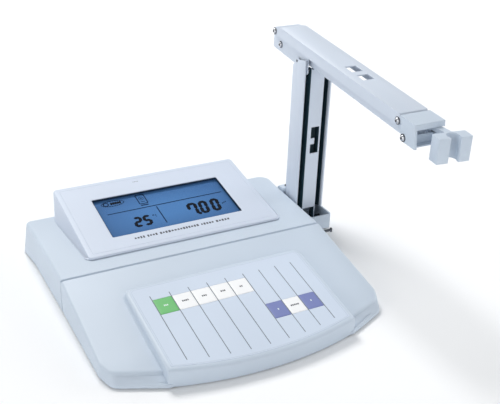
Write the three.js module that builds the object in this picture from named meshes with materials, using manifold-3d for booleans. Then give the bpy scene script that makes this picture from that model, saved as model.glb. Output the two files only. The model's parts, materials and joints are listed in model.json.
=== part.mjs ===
// Bench pH meter with a swing-arm electrode holder.
// Millimetres, +Z up. X is the width, the operator stands at -Y, the arm is on the +X side.
import * as THREE from "three";
import { mergeVertices } from "three/addons/utils/BufferGeometryUtils.js";
import Module from "manifold-3d";

const wasm = await Module();
wasm.setup();

// ---------- driving dimensions ----------
const GAP = 0.3;              // clearance between fitted pieces
const WALL = 2.4;             // moulded wall of the housing

// housing
const HALF_WIDTH = 140.3;     // half-width at the parting line
const REAR_HALF = 144.5;      // half-width at the rear foot of the walls
const REAR_Y = 127.5;         // rear foot of the walls
const REAR_TOP_Y = 121;       // rear edge of the top
const TOP_Z = 35.2;           // top at the parting line
const REAR_TOP_Z = 37.8;      // top at the rear edge
const SKIRT_Z = 1.2;          // lower edge of the walls
const RIM_Z = 4.2;            // top of the upright rim along the foot of the shoulders
const SPLIT_GROOVE = 1.2;     // groove between the two top mouldings
const DECK_SLOPE = 0.184;     // fall of the front deck
const DECK_FOOT_Y = -127;      // front corner of the two shoulders, at the foot of the leaning wall
const DECK_FRONT_Y = -121.5;   // the same corner at the top
const DECK_TIP_FOOT_Y = -146.5; // where the shoulders' front wall meets the tongue, at the foot
const DECK_TIP_Y = -135.5;     // and at the top
const TONGUE_HALF = 93;       // half-width of the keypad tongue
const TONGUE_FRONT_Y = -159;  // front of the tongue on the centre line
const TONGUE_RADIUS = 318;    // radius of its curved front

// keypad plane: passes through KEY_ORIGIN and falls towards the operator
const KEY_ORIGIN = [0, -54, 32.6];
const KEY_TILT = 8.3;
const KEY_PITCH = 19;
const KEY_TRAVEL = 0.5;

// display housing: the bezel plane passes through BEZEL_ORIGIN and rises to the rear
const BEZEL_ORIGIN = [0, 21.4, 38.3];
const BEZEL_TILT = 8.7;
const BEZEL_HALF = 105;
const BEZEL_DEPTH = 121.9;
const BEZEL_CORNER = 4;
const WINDOW_HALF = 72.5;
const WINDOW_NEAR = 24.4;
const WINDOW_FAR = 91.9;

// electrode arm: both parallelograms work in planes square to X
const ARM_X = 160.9;                // centre plane
const COLUMN_HALF = 17.05;          // upright, outside
const COLUMN_FRONT_Y = 53;
const COLUMN_REAR_Y = 77.6;
const FOOT_PIN = [70.3, 15.1];      // y, z of the upright's lower pin
const BAR_FOOT_PIN = [58.1, 7.6];
const COLUMN_LINK = 176.6;          // pin distance of the lower parallelogram
const BAR_HALF = 8.3;               // half-width of both inner bars
const CHEEK_HALF = 13.8;            // half-width of the cheeks that run inside the channels
const ARM_REAR_PIN = [122, 209.5];
const BAR_REAR_PIN = [110.9, 197.3];
const ARM_LINK = 228.8;             // pin distance of the upper parallelogram
const ARM_SLOPE = 4.75;             // fall of the arm towards the operator, degrees
const ARM_HALF = 15.6;              // half-width of the arm channel
const ARM_TOP = 7.3;                // top face above its pins
const ARM_DEPTH = 11.4;             // depth of its side walls
const SHEET = 1.5;                  // wall of both channels
const PIN_R = 1.5;
const BORE_R = 1.6;
const CLIP_PIVOT = [170.6, -127];
const CLIP_TURN = -7.2;             // rest angle of the clip about its upright pin
const CLIP_TOP = 190.2;
const CLIP_HEIGHT = 23.6;

const rad = THREE.MathUtils.degToRad;
const armDir = [-Math.cos(rad(ARM_SLOPE)), -Math.sin(rad(ARM_SLOPE))];
const ARM_FRONT_PIN = [ARM_REAR_PIN[0] + ARM_LINK * armDir[0], ARM_REAR_PIN[1] + ARM_LINK * armDir[1]];
const BAR_FRONT_PIN = [BAR_REAR_PIN[0] + ARM_LINK * armDir[0], BAR_REAR_PIN[1] + ARM_LINK * armDir[1]];
const TOP_PIN = [FOOT_PIN[0], FOOT_PIN[1] + COLUMN_LINK];
const BAR_TOP_PIN = [BAR_FOOT_PIN[0], BAR_FOOT_PIN[1] + COLUMN_LINK];

// ---------- solids ----------
function solid(geometry) {
  const plain = geometry.index ? geometry.toNonIndexed() : geometry.clone();
  plain.deleteAttribute("normal");
  plain.deleteAttribute("uv");
  const merged = mergeVertices(plain, 1e-4);
  const made = new wasm.Manifold(
    new wasm.Mesh({
      numProp: 3,
      vertProperties: merged.attributes.position.array,
      triVerts: new Uint32Array(merged.index.array),
    }),
  );
  if (made.volume() < 0) throw new Error("a base solid is inside out");
  return made;
}

function geometryOf(made) {
  const mesh = made.getMesh();
  const out = new THREE.BufferGeometry();
  out.setAttribute("position", new THREE.BufferAttribute(mesh.vertProperties, 3));
  out.setIndex(new THREE.BufferAttribute(mesh.triVerts, 1));
  out.computeVertexNormals();
  return out;
}

const turned = (made, ax, ay, az, at = [0, 0, 0]) => {
  const m = new THREE.Matrix4().makeRotationFromEuler(new THREE.Euler(rad(ax), rad(ay), rad(az)));
  m.setPosition(...at);
  return made.transform(m.toArray());
};

function box(x0, x1, y0, y1, z0, z1) {
  const g = new THREE.BoxGeometry(x1 - x0, y1 - y0, z1 - z0);
  g.translate((x0 + x1) / 2, (y0 + y1) / 2, (z0 + z1) / 2);
  return solid(g);
}

// A closed ring of points, corners rounded with the given radii.
function roundedRing(points, radii, steps = 4) {
  const out = [];
  const n = points.length;
  for (let i = 0; i < n; i++) {
    const p = new THREE.Vector2(...points[i]);
    const before = new THREE.Vector2(...points[(i + n - 1) % n]).sub(p);
    const after = new THREE.Vector2(...points[(i + 1) % n]).sub(p);
    const r = Array.isArray(radii) ? radii[i] : radii;
    if (!r) {
      out.push([p.x, p.y]);
      continue;
    }
    const room = 0.49 * Math.min(before.length(), after.length());
    before.normalize();
    after.normalize();
    const half = Math.acos(THREE.MathUtils.clamp(before.dot(after), -1, 1)) / 2;
    const cut = Math.min(r / Math.tan(half), room);
    const real = cut * Math.tan(half);
    const bisector = before.clone().add(after).normalize();
    const centre = p.clone().addScaledVector(bisector, real / Math.sin(half));
    const start = p.clone().addScaledVector(before, cut).sub(centre);
    const end = p.clone().addScaledVector(after, cut).sub(centre);
    let sweep = end.angle() - start.angle();
    while (sweep > Math.PI) sweep -= 2 * Math.PI;
    while (sweep < -Math.PI) sweep += 2 * Math.PI;
    for (let k = 0; k <= steps; k++) {
      const a = start.angle() + (sweep * k) / steps;
      out.push([centre.x + real * Math.cos(a), centre.y + real * Math.sin(a)]);
    }
  }
  return out;
}

const clockwise = (ring) => THREE.ShapeUtils.isClockWise(ring.map((p) => new THREE.Vector2(...p)));

// A solid between matching rings of 3-D points, given from the bottom up and counter-clockwise from above.
function loft(rings) {
  const n = rings[0].length;
  const position = rings.flat(2);
  const index = [];
  for (let k = 0; k + 1 < rings.length; k++)
    for (let i = 0; i < n; i++) {
      const a = k * n + i;
      const b = k * n + ((i + 1) % n);
      index.push(a, b, b + n, a, b + n, a + n);
    }
  const last = (rings.length - 1) * n;
  const flat = (ring) => ring.map((p) => new THREE.Vector2(p[0], p[1]));
  for (const [a, b, c] of THREE.ShapeUtils.triangulateShape(flat(rings[0]), [])) index.push(c, b, a);
  for (const [a, b, c] of THREE.ShapeUtils.triangulateShape(flat(rings.at(-1)), []))
    index.push(a + last, b + last, c + last);
  const g = new THREE.BufferGeometry();
  g.setAttribute("position", new THREE.Float32BufferAttribute(position, 3));
  g.setIndex(index);
  return solid(g);
}

const prism = (ring, z0, z1) => {
  const r = clockwise(ring) ? [...ring].reverse() : ring;
  return loft([r.map(([x, y]) => [x, y, z0]), r.map(([x, y]) => [x, y, z1])]);
};

// A prism along X from a ring of (y, z) points.
const sidePrism = (ring, x0, x1) => {
  const r = clockwise(ring) ? [...ring].reverse() : ring;
  const made = loft([r.map(([y, z]) => [y, z, x0]), r.map(([y, z]) => [y, z, x1])]);
  return made.transform([0, 1, 0, 0, 0, 0, 1, 0, 1, 0, 0, 0, 0, 0, 0, 1]);
};

// A turned piece about Z; its (radius, z) profile starts and ends on the axis, bottom first.
function lathe(profile, segments = 20) {
  const points = profile.map((p) => new THREE.Vector2(...p));
  return solid(new THREE.LatheGeometry(points, segments).rotateX(Math.PI / 2));
}

const rod = (r, z0, z1, segments = 20) => lathe([[0, z0], [r, z0], [r, z1], [0, z1]], segments);
const rodX = (r, x0, x1, y, z, segments = 20) => turned(rod(r, x0, x1, segments), 0, 90, 0, [0, y, z]);
const rodY = (r, y0, y1, x, z, segments = 20) => turned(rod(r, y0, y1, segments), -90, 0, 0, [x, 0, z]);
const rodZ = (r, z0, z1, x, y, segments = 20) => rod(r, z0, z1, segments).translate([x, y, 0]);

const union = (...all) => all.reduce((a, b) => a.add(b));

// ---------- group ----------
const group = new THREE.Group();
group.name = "ph_meter";

const COLOURS = {
  body: 0xdfe6f0,
  white: 0xf2f4f7,
  key: 0xf7f8fa,
  green: 0x7fd08a,
  blue: 0x9a9fdc,
  dark: 0x24262b,
  glass: 0x9fc0ee,
  lcd: 0x7ea6dc,
  board: 0x2f7a4f,
  steel: 0xb9bec6,
  lilac: 0xd3d4e6,
  rubber: 0x2c2d30,
  brass: 0xc7a552,
};

function add(name, made, colour) {
  const material = new THREE.MeshStandardMaterial({ color: COLOURS[colour] });
  const mesh = new THREE.Mesh(geometryOf(made), material);
  mesh.name = name;
  group.add(mesh);
}

// ---------- housing ----------
const rearTopZ = (y) => TOP_Z + ((REAR_TOP_Z - TOP_Z) * y) / REAR_TOP_Y;
const deckZ = (y) => TOP_Z + DECK_SLOPE * y;
const keyZ = (y) => KEY_ORIGIN[2] + Math.tan(rad(KEY_TILT)) * (y - KEY_ORIGIN[1]);

function tongueArc(inset, count = 9) {
  const half = TONGUE_HALF - inset;
  const out = [];
  for (let i = 0; i <= count; i++) {
    const x = half - (2 * half * i) / count;
    const y = TONGUE_FRONT_Y + inset + TONGUE_RADIUS - Math.sqrt(TONGUE_RADIUS ** 2 - x ** 2);
    out.push([x, y]);
  }
  return out;
}

// rear body: outline at the foot of the wall and at the top, moved inwards by inset
const rearOutline = (inset, top) => {
  const side = HALF_WIDTH - inset;
  const far = (top ? HALF_WIDTH + 1.1 : REAR_HALF) - inset;
  const y1 = (top ? REAR_TOP_Y : REAR_Y) - inset;
  const y0 = SPLIT_GROOVE / 2;
  const waist = side + (top ? 0.2 : 0.6);
  const ring = [[-side, y0], [side, y0], [waist, 92], [far, y1], [-far, y1], [-waist, 92]];
  return roundedRing(ring, [0, 0, 0, 12, 5, 0], 5);
};
const rearSolid = (inset, lowZ, drop) =>
  loft([
    ...(lowZ < SKIRT_Z ? [rearOutline(inset, false).map(([x, y]) => [x, y, lowZ])] : []),
    rearOutline(inset, false).map(([x, y]) => [x, y, SKIRT_Z]),
    rearOutline(inset, true).map(([x, y]) => [x, y, rearTopZ(y) - drop - 2]),
    rearOutline(inset + 1.8, true).map(([x, y]) => [x, y, rearTopZ(y) - drop]),
  ]);

const SCREWS = [[-118, 96], [118, 96], [-118, -92], [118, -92]];
const boss = ([x, y], z1) => rodZ(4.2, 4.4, z1, x, y, 16);
const bossBore = ([x, y]) => rodZ(BORE_R, 4, 14, x, y, 16);

const SOCKETS = { bnc: -92, temp: -52, reference: -20, power: 88 };
const SOCKET_Z = 19;

{
  const front = box(-200, 200, -10, SPLIT_GROOVE / 2 + WALL, -5, 60);
  const cavity = rearSolid(WALL, -2, WALL).subtract(front);
  const seam = box(-HALF_WIDTH + 8, HALF_WIDTH - 8, -10, SPLIT_GROOVE / 2 + WALL + 1, -5, 29);
  let cover = rearSolid(0, SKIRT_Z, 0).subtract(cavity).subtract(seam);
  cover = cover.add(boss(SCREWS[0], 36.2)).add(boss(SCREWS[1], 36.2));
  cover = cover.subtract(bossBore(SCREWS[0])).subtract(bossBore(SCREWS[1]));
  cover = cover.subtract(prism(roundedRing([[-96, 33], [96, 33], [96, 112], [-96, 112]], 5, 2), 20, 50));
  cover = cover.subtract(rodY(7.2, 110, 135, SOCKETS.bnc, SOCKET_Z));
  cover = cover.subtract(rodY(4.4, 110, 135, SOCKETS.temp, SOCKET_Z));
  cover = cover.subtract(rodY(3.4, 110, 135, SOCKETS.reference, SOCKET_Z));
  cover = cover.subtract(rodY(5.4, 110, 135, SOCKETS.power, SOCKET_Z));
  add("rear_cover", cover, "body");
}

// front body: shoulders, then the keypad tongue on top
const shoulderOutline = (inset, top) => {
  const side = HALF_WIDTH - inset;
  const y0 = -SPLIT_GROOVE / 2;
  const corner = (top ? DECK_FRONT_Y : DECK_FOOT_Y) + inset;
  const tip = (top ? DECK_TIP_Y : DECK_TIP_FOOT_Y) + inset;
  const ring = [
    [-side, y0],
    [-side - 0.7, -108],
    [-side + 4.5, corner],
    [-TONGUE_HALF + 1, tip],
    [TONGUE_HALF - 1, tip],
    [side - 4.5, corner],
    [side + 0.7, -108],
    [side, y0],
  ];
  return roundedRing(ring, [0, 12, 12, 0, 0, 12, 12, 0], 3);
};
const shoulderSolid = (inset, lowZ, drop) =>
  loft([
    shoulderOutline(inset, false).map(([x, y]) => [x, y, lowZ]),
    shoulderOutline(inset, false).map(([x, y]) => [x, y, RIM_Z]),
    shoulderOutline(inset, true).map(([x, y]) => [x, y, deckZ(y) - drop - 2.2]),
    shoulderOutline(inset + 0.7, true).map(([x, y]) => [x, y, deckZ(y) - drop - 0.7]),
    shoulderOutline(inset + 2.2, true).map(([x, y]) => [x, y, deckZ(y) - drop]),
  ]);
const tongueOutline = (inset) => {
  const half = TONGUE_HALF - inset;
  const y1 = -37 - inset;
  const arc = tongueArc(inset);
  const arcEnd = arc[0][1];
  const corners = [[half, arcEnd], [half, y1], [-half, y1], [-half, arcEnd]];
  const rear = roundedRing(corners, [0, 8, 8, 0], 3).slice(1, -1);
  return [...[...arc].reverse(), ...rear];
};
const tongueSolid = (inset, lowZ, drop) =>
  loft([
    tongueOutline(inset).map(([x, y]) => [x, y, lowZ]),
    tongueOutline(inset).map(([x, y]) => [x, y, Math.min(keyZ(y), TOP_Z) - drop - 2.6]),
    tongueOutline(inset + 0.9).map(([x, y]) => [x, y, Math.min(keyZ(y), TOP_Z + 0.6) - drop - 0.8]),
    tongueOutline(inset + 3.2).map(([x, y]) => [x, y, Math.min(keyZ(y), TOP_Z + 0.9) - drop]),
  ]);

// keypad pieces are drawn flat, then laid on the keypad plane
const onKeypad = (made) => turned(made, KEY_TILT, 0, 0, KEY_ORIGIN);
const KEY_SIZE = [KEY_PITCH - 0.8, 20.4];
const lineX = (i) => -73.3 + (i < 6 ? KEY_PITCH * i : 95 + 17.4 * (i - 5));
const KEYS = [
  [0, -17, "green"], [1, -17, "key"], [2, -17, "key"], [3, -17, "key"], [4, -17, "key"],
  [5, -57.7, "blue"], [6, -57.7, "key"], [7, -57.7, "blue"],
].map(([i, v, colour]) => ({ x: (lineX(i) + lineX(i + 1)) / 2, w: lineX(i + 1) - lineX(i) - 0.8, v, colour }));
const keyRing = ({ x, w, v }, grow) =>
  roundedRing(
    [
      [x - w / 2 - grow, v - KEY_SIZE[1] / 2 - grow],
      [x + w / 2 + grow, v - KEY_SIZE[1] / 2 - grow],
      [x + w / 2 + grow, v + KEY_SIZE[1] / 2 + grow],
      [x - w / 2 - grow, v + KEY_SIZE[1] / 2 + grow],
    ],
    0.8,
    2,
  );
const overlayRing = (inset) => {
  const half = 86 - inset;
  const arc = [];
  for (let i = 0; i <= 8; i++) {
    const x = -half + (2 * half * i) / 8;
    const y = TONGUE_FRONT_Y + 9 + inset + TONGUE_RADIUS - Math.sqrt(TONGUE_RADIUS ** 2 - x ** 2);
    arc.push([x, (y - KEY_ORIGIN[1]) / Math.cos(rad(KEY_TILT))]);
  }
  return [...arc, [half, 6 - inset], [-half, 6 - inset]];
};

{
  const rearCut = box(-200, 200, -SPLIT_GROOVE / 2 - WALL, 10, -5, 60);
  const cavity = shoulderSolid(WALL, -2, WALL).add(tongueSolid(WALL, -2, WALL)).subtract(rearCut);
  const seam = box(-HALF_WIDTH + 8, HALF_WIDTH - 8, -SPLIT_GROOVE / 2 - WALL - 1, 10, -5, 29);
  let deck = shoulderSolid(0, SKIRT_Z, 0).add(tongueSolid(0, SKIRT_Z, 0)).subtract(cavity).subtract(seam);
  deck = deck.add(boss(SCREWS[2], 16.8)).add(boss(SCREWS[3], 16.8));
  deck = deck.subtract(bossBore(SCREWS[2])).subtract(bossBore(SCREWS[3]));
  deck = deck.subtract(onKeypad(prism(overlayRing(0), -0.75, 5)));
  for (const key of KEYS) deck = deck.subtract(onKeypad(prism(keyRing(key, -1.2), -6, 3)));
  add("front_deck", deck, "body");
  let overlay = prism(overlayRing(GAP), -0.45, 0);
  for (const key of KEYS) overlay = overlay.subtract(prism(keyRing(key, GAP), -3, 3));
  add("keypad_overlay", onKeypad(overlay), "white");
}

// each key: a cap above the overlay and a narrower stem that goes down through the deck
KEYS.forEach((key, i) => {
  const cap = prism(keyRing(key, 0), 0.1 - GAP, 0.6);
  const stem = prism(keyRing(key, -1.6), -3.2, 0.3);
  const shape = cap.add(stem);
  add("key_" + (i + 1), onKeypad(shape), key.colour);
});

add("keypad_board", onKeypad(prism([[-80, -76], [80, -76], [80, 0], [-80, 0]], -5.8, -4.2)), "board");

// bottom tray, inside the walls of both covers
{
  const inset = WALL + GAP;
  const plateRear = prism(rearOutline(inset + 0.7, false), SKIRT_Z, SKIRT_Z + 2.2);
  const bridge = box(-HALF_WIDTH + 9, HALF_WIDTH - 9, -8, 8, SKIRT_Z, SKIRT_Z + 2.2);
  const shoulders = prism(shoulderOutline(inset, false), SKIRT_Z, SKIRT_Z + 2.2);
  const tongue = prism(tongueOutline(inset), SKIRT_Z, SKIRT_Z + 2.2);
  const trim = box(-200, 200, -WALL - 1, WALL + 1, -1, 6).subtract(bridge);
  let tray = union(plateRear, shoulders, tongue, bridge).subtract(trim);
  for (const [x, y] of SCREWS) {
    tray = tray.subtract(rodZ(3.6, 0, 2.6, x, y, 16)).add(rodZ(5.2, 2.9, 3.4, x, y, 16));
    tray = tray.subtract(rodZ(1.8, 0, 6, x, y, 16));
  }
  for (const [x, y] of [[-112, 70], [112, 70], [-112, -70], [112, -70]])
    tray = tray.subtract(rodZ(8.3, 0, 1.9, x, y, 20));
  for (const x of [-90, 90]) for (const y of [18, 66]) tray = tray.add(rodZ(3, 3, 8.7, x, y, 12));
  for (const x of [-74, 74])
    for (const y of [-118, -62]) tray = tray.add(rodZ(3, 3, keyZ(y) - 6.8, x, y, 12));
  add("bottom_shell", tray, "body");
}

SCREWS.forEach(([x, y], i) => {
  const head = rodZ(3.1, 1.3, 2.5, x, y, 16).subtract(box(x - 2.2, x + 2.2, y - 0.4, y + 0.4, 1, 1.8));
  add("shell_screw_" + (i + 1), head.add(rodZ(1.5, 2.4, 12, x, y, 14)), "steel");
});
[[-112, 70], [112, 70], [-112, -70], [112, -70]].forEach(([x, y], i) => {
  const foot = lathe([[0, 0], [7, 0], [8, 0.6], [8, 1.6], [0, 1.6]], 20);
  add("foot_" + (i + 1), foot.translate([x, y, 0]), "rubber");
});

add("main_board", box(-96, 96, 12, 72, 9, 10.6), "board");

// ---------- display ----------
const onBezel = (made) => turned(made, BEZEL_TILT, 0, 0, BEZEL_ORIGIN);
{
  // rings from the foot of the walls to the bezel, the foot follows the cover
  const foot = (inset, lift) =>
    roundedRing(
      [
        [-107.4 + inset, 23.5 + inset],
        [107.4 - inset, 23.5 + inset],
        [114 - inset, 112 - inset],
        [-114 + inset, 112 - inset],
      ],
      BEZEL_CORNER + 0.5,
      4,
    ).map(([x, y]) => [x, y, rearTopZ(y) + lift]);
  const c = Math.cos(rad(BEZEL_TILT));
  const s = Math.sin(rad(BEZEL_TILT));
  const face = (inset, n) =>
    roundedRing(
      [
        [-BEZEL_HALF + inset, inset],
        [BEZEL_HALF - inset, inset],
        [BEZEL_HALF - inset, BEZEL_DEPTH - inset],
        [-BEZEL_HALF + inset, BEZEL_DEPTH - inset],
      ],
      BEZEL_CORNER - Math.min(inset, 2.5),
      4,
    ).map(([u, v]) => [u, BEZEL_ORIGIN[1] + v * c - n * s, BEZEL_ORIGIN[2] + v * s + n * c]);
  const outer = loft([foot(0, GAP), face(-0.4, -1.6), face(0.2, -0.5), face(1.2, 0)]);
  const inner = loft([foot(WALL, -6), foot(WALL, GAP + 0.2), face(WALL, -2.4)]);
  const opening = onBezel(
    prism(
      roundedRing(
        [
          [-WINDOW_HALF, WINDOW_NEAR],
          [WINDOW_HALF, WINDOW_NEAR],
          [WINDOW_HALF, WINDOW_FAR],
          [-WINDOW_HALF, WINDOW_FAR],
        ],
        1.5,
        3,
      ),
      -6,
      4,
    ),
  );
  add("display_housing", outer.subtract(inner).subtract(opening), "body");
}
const windowPlate = (grow, n0, n1) =>
  onBezel(
    prism(
      [
        [-WINDOW_HALF - grow, WINDOW_NEAR - grow],
        [WINDOW_HALF + grow, WINDOW_NEAR - grow],
        [WINDOW_HALF + grow, WINDOW_FAR + grow],
        [-WINDOW_HALF - grow, WINDOW_FAR + grow],
      ],
      n0,
      n1,
    ),
  );
add("display_window", windowPlate(3, -3.7, -2.7), "glass");
add("lcd_panel", windowPlate(2, -6.2, -4), "lcd");
add("lcd_backlight", windowPlate(1, -10, -6.5), "white");

// ---------- rear connections ----------
const PANEL_Y = 128.2;  // seat of every flange on the rear wall
const BARREL_Y = 117;   // inner end of every barrel

// A round socket on the rear wall: a barrel through it, a flange outside, a collar and a bore.
function rearSocket({ x, barrel, flange, flangeEnd, collar, collarEnd, bore, boreStart }) {
  const profile = [
    [0, BARREL_Y],
    [barrel, BARREL_Y],
    [barrel, PANEL_Y],
    [flange, PANEL_Y],
    [flange, flangeEnd],
    [collar, flangeEnd],
    [collar, collarEnd],
    [bore, collarEnd],
    [bore, boreStart],
    [0, boreStart],
  ];
  const kept = profile.filter(([r, y], i) => !i || r !== profile[i - 1][0] || y !== profile[i - 1][1]);
  return turned(lathe(kept), -90, 0, 0, [x, 0, SOCKET_Z]);
}
{
  const bnc = rearSocket({
    x: SOCKETS.bnc,
    barrel: 6.9,
    flange: 8,
    flangeEnd: 130,
    collar: 4.8,
    collarEnd: 141,
    bore: 4,
    boreStart: 132,
  });
  const lugs = rodX(1, SOCKETS.bnc - 6.2, SOCKETS.bnc + 6.2, 137.5, SOCKET_Z, 10);
  add("bnc_socket", bnc.add(lugs.subtract(rodY(3.9, 131, 145, SOCKETS.bnc, SOCKET_Z))), "steel");
  const temp = rearSocket({
    x: SOCKETS.temp,
    barrel: 4.1,
    flange: 6,
    flangeEnd: 130.5,
    collar: 6,
    collarEnd: 130.5,
    bore: 1.9,
    boreStart: 120,
  });
  add("temp_socket", temp, "dark");
  const reference = rearSocket({
    x: SOCKETS.reference,
    barrel: 3.1,
    flange: 4.4,
    flangeEnd: 134,
    collar: 4.4,
    collarEnd: 134,
    bore: 2,
    boreStart: 122,
  });
  add("reference_socket", reference, "brass");
  const power = rearSocket({
    x: SOCKETS.power,
    barrel: 5.1,
    flange: 6.6,
    flangeEnd: 130,
    collar: 6.6,
    collarEnd: 130,
    bore: 3.2,
    boreStart: 119,
  });
  add("power_socket", power, "dark");
}

// ---------- arm base ----------
{
  const x0 = 141.6;
  const x1 = 180.1;
  const inner = [[37, 1.6], [92, 1.6], [92, 36], [79.5, 36], [79.5, 26], [37, 26]];
  const outer = [[37, 1.6], [92, 1.6], [92, 36], [79.5, 36], [76, 20], [38.5, 20], [37, 18.5]];
  let base = union(
    box(x0, x1, 37, 92, 1.6, 3.4),
    sidePrism(inner, x0, ARM_X - COLUMN_HALF - 0.5),
    sidePrism(outer, ARM_X + COLUMN_HALF + 0.5, x1),
    box(x0, x1, 37, 39, 1.6, 18.5),
    sidePrism([[79.5, 1.6], [92, 1.6], [92, 35], [89, 38.5], [81, 38.5], [79.5, 37]], x0, x1),
    sidePrism(roundedRing([[2, 9], [40, 9], [40, 26], [2, 26]], [3, 0, 0, 3], 3), x0, 145),
  );
  for (const pin of [FOOT_PIN, BAR_FOOT_PIN])
    base = base.subtract(rodX(BORE_R, 130, 190, ...pin));
  base = base.subtract(rodX(BORE_R, 130, 150, 6.5, 18));
  base = base.subtract(rodZ(2.9, 37.2, 45, 150, 85.5, 16)).subtract(rodZ(BORE_R, 22, 45, 150, 85.5, 16));
  add("arm_base", base, "body");
  add("column_foot_pin", rodX(PIN_R, 141.8, 179.9, ...FOOT_PIN), "steel");
  add("bar_foot_pin", rodX(PIN_R, 141.8, 179.9, ...BAR_FOOT_PIN), "steel");
  const shank = rodX(PIN_R, 141.9, 162, 6.5, 18, 16);
  const collar = rodX(2.6, 145.4, 147.4, 6.5, 18, 16);
  const crossBar = box(160.8, 162.6, 5.3, 7.7, 15.7, 20.3);
  add("base_lock_screw", union(shank, collar, crossBar), "dark");
  const head = rodZ(2.5, 37.5, 39, 150, 85.5, 16).subtract(box(147, 153, 85.1, 85.9, 38.4, 40));
  add("arm_base_screw", head.add(rodZ(PIN_R, 24, 37.6, 150, 85.5, 14)), "dark");
}

// ---------- upright ----------
const WEB_TOP = TOP_PIN[1] - 12.6;
{
  const side = [
    [COLUMN_FRONT_Y, 22.5],
    [64.6, 15.5],
    [66.4, 11.6],
    [70.3, 10.4],
    [COLUMN_REAR_Y, 12.2],
    [COLUMN_REAR_Y, 186],
    [75.2, 187.9],
    [74.4, 191.9],
    [72.4, 194.5],
    [69.8, 195.3],
    [66.4, 194],
    [COLUMN_FRONT_Y, 196.8],
  ];
  const x0 = ARM_X - COLUMN_HALF;
  const x1 = ARM_X + COLUMN_HALF;
  let channel = sidePrism(side, x0, x1);
  channel = channel.subtract(box(x0 + SHEET, x1 - SHEET, 0, COLUMN_REAR_Y - SHEET, 0, 250));
  channel = channel.subtract(box(x0 + SHEET, x1 - SHEET, 60, 100, WEB_TOP, 250));
  for (const z of [96, 164])
    channel = channel.add(box(ARM_X - 4, ARM_X + 4, 66, COLUMN_REAR_Y - 0.6, z, z + 1.6));
  for (const pin of [FOOT_PIN, TOP_PIN])
    channel = channel.subtract(rodX(BORE_R, x0 - 2, x1 + 2, ...pin));
  add("column_channel", channel, "lilac");
}

// an inner bar between two pins at (0, 0) and (0, length), its web on the -Y side
function innerBar(length, webInset0, webInset1) {
  const depth0 = -4.2;
  const depth1 = 4.6;
  const end = 3;
  const corners = [[depth0, -end], [depth1, -end], [depth1, length + end], [depth0, length + end]];
  let bar = sidePrism(roundedRing(corners, 2.4, 3), -BAR_HALF, BAR_HALF);
  bar = bar.subtract(box(-BAR_HALF + 1.2, BAR_HALF - 1.2, depth0 + 1.4, 20, -10, length + 10));
  bar = bar.subtract(box(-BAR_HALF + 1.2, BAR_HALF - 1.2, -20, 20, -10, webInset0));
  bar = bar.subtract(box(-BAR_HALF + 1.2, BAR_HALF - 1.2, -20, 20, length - webInset1, length + 10));
  bar = bar.subtract(rodX(BORE_R, -20, 20, 0, 0)).subtract(rodX(BORE_R, -20, 20, 0, length));
  return bar;
}
{
  let bar = innerBar(COLUMN_LINK, 15, -1.6).translate([ARM_X, ...BAR_FOOT_PIN]);
  const cut = box(157.3, 167.3, 40, 60, 89.8, 120.5).subtract(box(155, 162.2, 40, 60, 100.6, 107.6));
  bar = bar.subtract(cut);
  add("column_bar", bar, "body");
}

// centre line of a coil spring about Z, from z0 to z1
class Helix extends THREE.Curve {
  constructor(r, z0, z1, turns) {
    super();
    Object.assign(this, { r, z0, z1, turns });
  }
  getPoint(t, target = new THREE.Vector3()) {
    const a = t * this.turns * 2 * Math.PI;
    return target.set(this.r * Math.cos(a), this.r * Math.sin(a), this.z0 + (this.z1 - this.z0) * t);
  }
}
function spring(z0, z1, turns) {
  const wire = new THREE.Shape();
  for (let i = 0; i < 4; i++) {
    const a = (i * Math.PI) / 2;
    if (i) wire.lineTo(0.55 * Math.cos(a), 0.55 * Math.sin(a));
    else wire.moveTo(0.55, 0);
  }
  const extrudePath = new Helix(3.2, z0 + 0.6, z1 - 0.6, turns);
  return solid(new THREE.ExtrudeGeometry(wire, { steps: turns * 8, bevelEnabled: false, extrudePath }));
}
add("column_spring", spring(98, 163.6, 13).translate([ARM_X, 69.6, 0]), "steel");

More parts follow.
